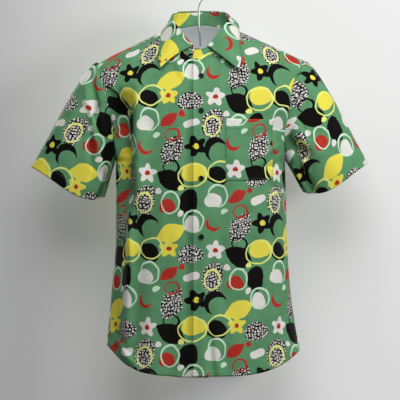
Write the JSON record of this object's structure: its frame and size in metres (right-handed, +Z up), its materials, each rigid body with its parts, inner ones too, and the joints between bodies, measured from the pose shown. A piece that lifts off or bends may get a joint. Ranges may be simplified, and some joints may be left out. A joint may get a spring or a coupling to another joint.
{
  "type": "hawaiian shirt on hanger",
  "caption": "Short-sleeved button-front shirt with a turn-down collar, patch pocket and curved hem, filled out on a plain rod hanger.",
  "frame": {"origin": "inner top of the hanger's hook, where the whole part hangs", "axes": "+Z up, -Y out of the shirt's front, +X towards the wearer's left"},
  "size_m": [0.7163, 0.2155, 0.8458],
  "materials": {
    "cloth": "matte",
    "button": "satin",
    "rod": "polished"
  },
  "bodies": {
    "root": {"front_left": "cloth", "front_right": "cloth", "back": "cloth", "sleeve_left": "cloth", "sleeve_right": "cloth", "collar_stand": "cloth", "collar_leaf": "cloth", "chest_pocket": "cloth", "button_1": "button", "button_2": "button", "button_3": "button", "button_4": "button", "button_5": "button", "hanger_arms": "rod", "hanger_hook": "rod"}
  },
  "joints": []
}
